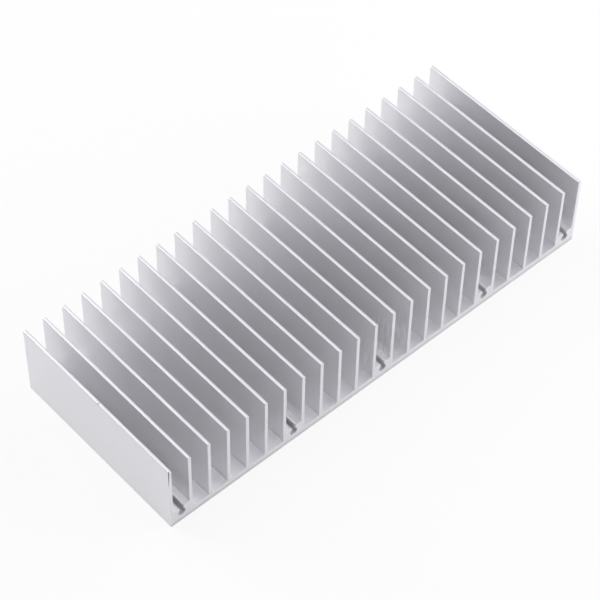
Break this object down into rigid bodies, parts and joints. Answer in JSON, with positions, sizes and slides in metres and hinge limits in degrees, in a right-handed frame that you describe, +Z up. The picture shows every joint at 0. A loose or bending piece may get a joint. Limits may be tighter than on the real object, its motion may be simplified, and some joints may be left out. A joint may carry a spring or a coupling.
{
  "type": "heat sink",
  "caption": "Straight-fin aluminium heat sink, cut from one extrusion, with a flat underside and screw channels between fins.",
  "frame": {"origin": "middle of the flat underside", "axes": "+X across the fins, +Y along the extrusion and the fins, +Z up from the underside to the fin tips"},
  "size_m": [0.15, 0.06, 0.025],
  "materials": {
    "anodised_aluminium": "satin clear anodised, fine lines along the extrusion"
  },
  "bodies": {
    "root": {"heat_sink": "anodised_aluminium"}
  },
  "joints": []
}
